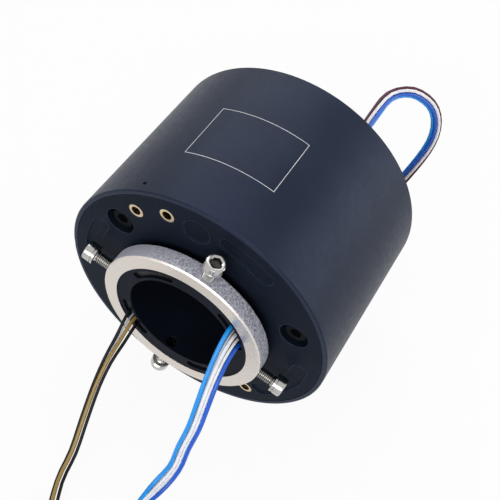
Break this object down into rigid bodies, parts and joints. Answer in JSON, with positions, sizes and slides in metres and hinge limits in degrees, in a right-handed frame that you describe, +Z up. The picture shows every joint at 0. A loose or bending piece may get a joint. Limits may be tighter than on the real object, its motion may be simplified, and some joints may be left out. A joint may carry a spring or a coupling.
{
  "type": "slip ring",
  "caption": "Through-bore slip ring: a wired rotor tube with a clamp collar turns on thin bearings inside a round housing, and brushes carry its circuits across.",
  "frame": {"origin": "on the shaft bore's axis, in the plane of the housing's front rim", "axes": "+Y along the bore from the collar end to the lead end, +Z up as the housing lies, +X to the right seen from the collar end"},
  "size_m": [0.125, 0.2706, 0.125],
  "materials": {
    "housing_anodised": "satin black anodised",
    "rotor_anodised": "satin black anodised",
    "cover_plastic": "fine matt",
    "insert_brass": "machined",
    "blackened_steel": "black oxide",
    "post_aluminium": "machined",
    "grommet_rubber": "matt",
    "block_plastic": "moulded",
    "brush_metal": "sintered",
    "spring_bronze": "rolled",
    "board_laminate": "lacquered",
    "screw_steel": "bright",
    "bearing_steel": "ground",
    "cage_brass": "pressed",
    "collar_aluminium": "bead blasted, turned face",
    "potting_resin": "cast",
    "ring_brass": "turned",
    "spacer_plastic": "moulded",
    "blue_leads": "insulated wire",
    "dark_leads": "insulated wire",
    "rear_leads": "insulated wire",
    "tie_nylon": "nylon"
  },
  "bodies": {
    "rotor": {"rotor_tube": "rotor_anodised", "clamp_collar": "collar_aluminium", "channel_potting": "potting_resin", "bearing_inner_front": "bearing_steel", "bearing_inner_rear": "bearing_steel", "conductor_ring_1": "ring_brass", "conductor_ring_2": "ring_brass", "conductor_ring_3": "ring_brass", "conductor_ring_4": "ring_brass", "conductor_ring_5": "ring_brass", "conductor_ring_6": "ring_brass", "conductor_ring_7": "ring_brass", "conductor_ring_8": "ring_brass", "spacer_ring_1": "spacer_plastic", "spacer_ring_2": "spacer_plastic", "spacer_ring_3": "spacer_plastic", "spacer_ring_4": "spacer_plastic", "spacer_ring_5": "spacer_plastic", "spacer_ring_6": "spacer_plastic", "spacer_ring_7": "spacer_plastic", "spacer_ring_8": "spacer_plastic", "spacer_ring_9": "spacer_plastic", "end_sleeve": "post_aluminium", "retaining_ring": "blackened_steel", "rotor_leads_right": "blue_leads", "rotor_leads_left": "dark_leads", "lead_coil_right": "blue_leads", "lead_coil_left": "dark_leads", "coil_ties_front": "tie_nylon"},
    "stator": {"housing": "housing_anodised", "front_cover": "cover_plastic", "rear_cover": "cover_plastic", "threaded_inserts": "insert_brass", "cover_screws": "blackened_steel", "tie_posts": "post_aluminium", "lead_grommet": "grommet_rubber", "brush_block_a": "block_plastic", "brush_block_b": "block_plastic", "brushes_a": "brush_metal", "brushes_b": "brush_metal", "brush_springs_a": "spring_bronze", "brush_springs_b": "spring_bronze", "terminal_board_a": "board_laminate", "terminal_board_b": "board_laminate", "board_screws": "screw_steel", "bearing_outer_front": "bearing_steel", "bearing_outer_rear": "bearing_steel", "stator_leads": "rear_leads", "lead_coil_rear": "rear_leads", "coil_tie_rear": "tie_nylon"},
    "front_balls": {"bearing_balls_front": "bearing_steel", "ball_cage_front": "cage_brass"},
    "rear_balls": {"bearing_balls_rear": "bearing_steel", "ball_cage_rear": "cage_brass"},
    "clamp_screw_1": {"clamp_screw_1": "screw_steel"},
    "clamp_screw_2": {"clamp_screw_2": "screw_steel"},
    "clamp_screw_3": {"clamp_screw_3": "screw_steel"},
    "clamp_screw_4": {"clamp_screw_4": "screw_steel"}
  },
  "joints": [
    {"name": "stator_spin", "type": "hinge", "parent": "rotor", "child": "stator", "pos_m": [0, 0, 0], "axis": [0, 1, 0], "continuous": true},
    {"name": "front_balls_roll", "type": "hinge", "parent": "rotor", "child": "front_balls", "pos_m": [0, 0, 0], "axis": [0, 1, 0], "continuous": true},
    {"name": "rear_balls_roll", "type": "hinge", "parent": "rotor", "child": "rear_balls", "pos_m": [0, 0, 0], "axis": [0, 1, 0], "continuous": true},
    {"name": "clamp_screw_1_drive", "type": "slide", "parent": "rotor", "child": "clamp_screw_1", "axis": [-0.342, 0, -0.9397], "range_m": [-0.006, 0.007]},
    {"name": "clamp_screw_2_drive", "type": "slide", "parent": "rotor", "child": "clamp_screw_2", "axis": [0.9397, 0, -0.342], "range_m": [-0.006, 0.007]},
    {"name": "clamp_screw_3_drive", "type": "slide", "parent": "rotor", "child": "clamp_screw_3", "axis": [0.342, 0, 0.9397], "range_m": [-0.006, 0.007]},
    {"name": "clamp_screw_4_drive", "type": "slide", "parent": "rotor", "child": "clamp_screw_4", "axis": [-0.9397, 0, 0.342], "range_m": [-0.006, 0.007]}
  ],
  "couplings": [
    {"joint": "front_balls_roll", "follows": "stator_spin", "ratio": 0.5227},
    {"joint": "rear_balls_roll", "follows": "stator_spin", "ratio": 0.5227}
  ]
}
